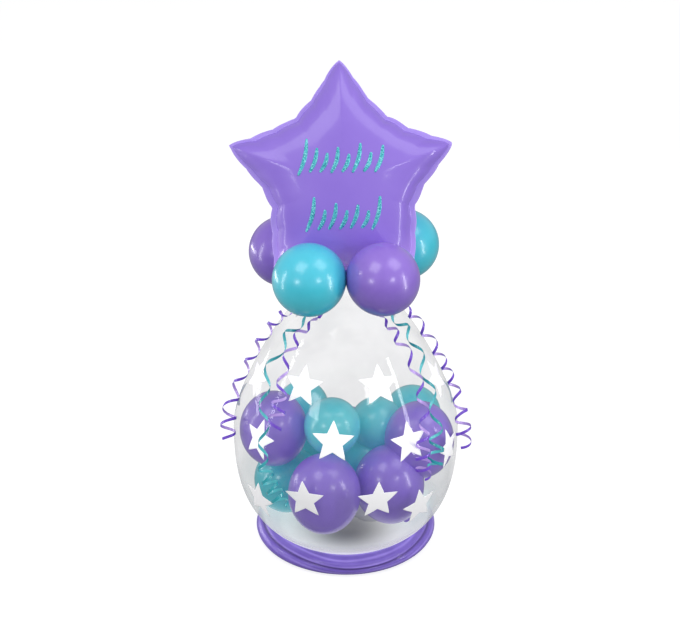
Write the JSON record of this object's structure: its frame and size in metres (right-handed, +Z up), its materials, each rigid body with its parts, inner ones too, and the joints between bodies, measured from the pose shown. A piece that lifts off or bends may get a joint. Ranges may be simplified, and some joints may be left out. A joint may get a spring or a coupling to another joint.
{
  "type": "stuffing balloon",
  "caption": "Clear printed gift balloon stuffed with small balloons, on a wrapped base ring, topped with a foil star balloon and curling ribbons.",
  "frame": {"origin": "on the balloon's axis, at the height of the surface that the base ring stands on", "axes": "+Z up, +X to the object's right as seen from the front, and the front with the star's face towards -Y"},
  "size_m": [0.4165, 0.391, 0.851],
  "materials": {
    "clear_film": "thin clear stretched plastic film, glossy, slightly milky",
    "purple_wrap": "glossy purple latex tube with long creases",
    "purple_latex": "glossy purple inflated latex",
    "teal_latex": "glossy teal inflated latex",
    "pale_latex": "satin pale grey inflated latex",
    "purple_foil": "shiny purple coated film with a welded rim",
    "star_print": "opaque white print",
    "teal_glitter": "teal glitter strokes",
    "purple_ribbon": "glossy purple curling ribbon",
    "teal_ribbon": "glossy dark teal curling ribbon"
  },
  "bodies": {
    "root": {"clear_balloon": "clear_film", "base_ring": "purple_wrap", "neck_tie": "purple_ribbon", "ball_front_left": "teal_latex", "ball_front_right": "purple_latex", "ball_back_left": "purple_latex", "ball_back_right": "teal_latex", "foil_star": "purple_foil", "ribbon_outer_left": "purple_ribbon", "ribbon_teal_left": "teal_ribbon", "ribbon_inner_left": "purple_ribbon", "ribbon_inner_right": "purple_ribbon", "ribbon_teal_right": "teal_ribbon", "ribbon_outer_right": "purple_ribbon"}
  },
  "joints": []
}
